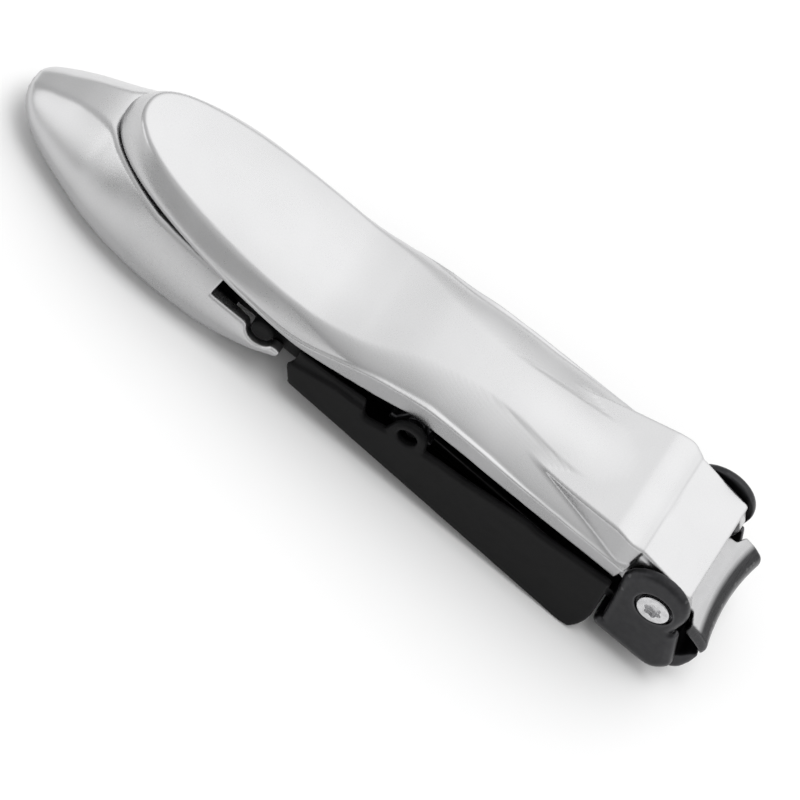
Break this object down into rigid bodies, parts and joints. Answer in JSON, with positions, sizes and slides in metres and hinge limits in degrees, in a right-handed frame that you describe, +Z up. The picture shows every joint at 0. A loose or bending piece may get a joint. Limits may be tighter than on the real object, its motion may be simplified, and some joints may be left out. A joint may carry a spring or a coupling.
{
  "type": "nail clipper",
  "caption": "Lever nail clipper with a wide thumb pad, spring arms with curved jaws in a riveted yoke, a cast tail and a swing-down clippings catcher.",
  "frame": {"origin": "middle of the footprint, on the surface that the clipper lies on", "axes": "+X from the tail to the cutting edges, +Y across the clipper, +Z up through the lever"},
  "size_m": [0.095, 0.0208, 0.0181],
  "materials": {
    "pearl_casting": "satin pearl silver on a zinc casting",
    "black_plastic": "satin black moulded plastic",
    "black_steel": "black coated steel, satin",
    "jaw_steel": "darkened ground steel",
    "bright_steel": "bright plated steel"
  },
  "bodies": {
    "body": {"tail_shell": "pearl_casting", "tail_anchor": "black_plastic", "anchor_screw_near": "bright_steel", "anchor_screw_far": "bright_steel", "arm_rivet_front": "bright_steel", "arm_rivet_rear": "bright_steel", "lower_jaw": "black_steel", "jaw_yoke": "black_steel", "yoke_rivet_near": "bright_steel", "yoke_rivet_far": "bright_steel", "pivot_screw_near": "bright_steel", "pivot_screw_far": "bright_steel", "catcher_hinge_pin_near": "black_steel", "catcher_hinge_pin_far": "black_steel", "catch_bracket": "black_steel", "bracket_rivet": "bright_steel"},
    "lever": {"lever": "pearl_casting", "lever_cam_pin": "bright_steel"},
    "upper_jaw": {"upper_jaw": "jaw_steel"},
    "catcher": {"catcher": "black_plastic"}
  },
  "joints": [
    {"name": "lever_hinge", "type": "hinge", "parent": "body", "child": "lever", "pos_m": [0.03964, 0, 0.01191], "axis": [0, 1, 0], "range_deg": [0, 20]},
    {"name": "upper_jaw_flex", "type": "hinge", "parent": "body", "child": "upper_jaw", "pos_m": [-0.01626, 0, 0.00829], "axis": [0, 1, 0], "range_deg": [-2, 0]},
    {"name": "catcher_hinge", "type": "hinge", "parent": "body", "child": "catcher", "pos_m": [-0.0118, 0, 0.00728], "axis": [0, 1, 0], "range_deg": [0, 30]}
  ],
  "couplings": [
    {"joint": "upper_jaw_flex", "follows": "lever_hinge", "ratio": -0.095}
  ]
}
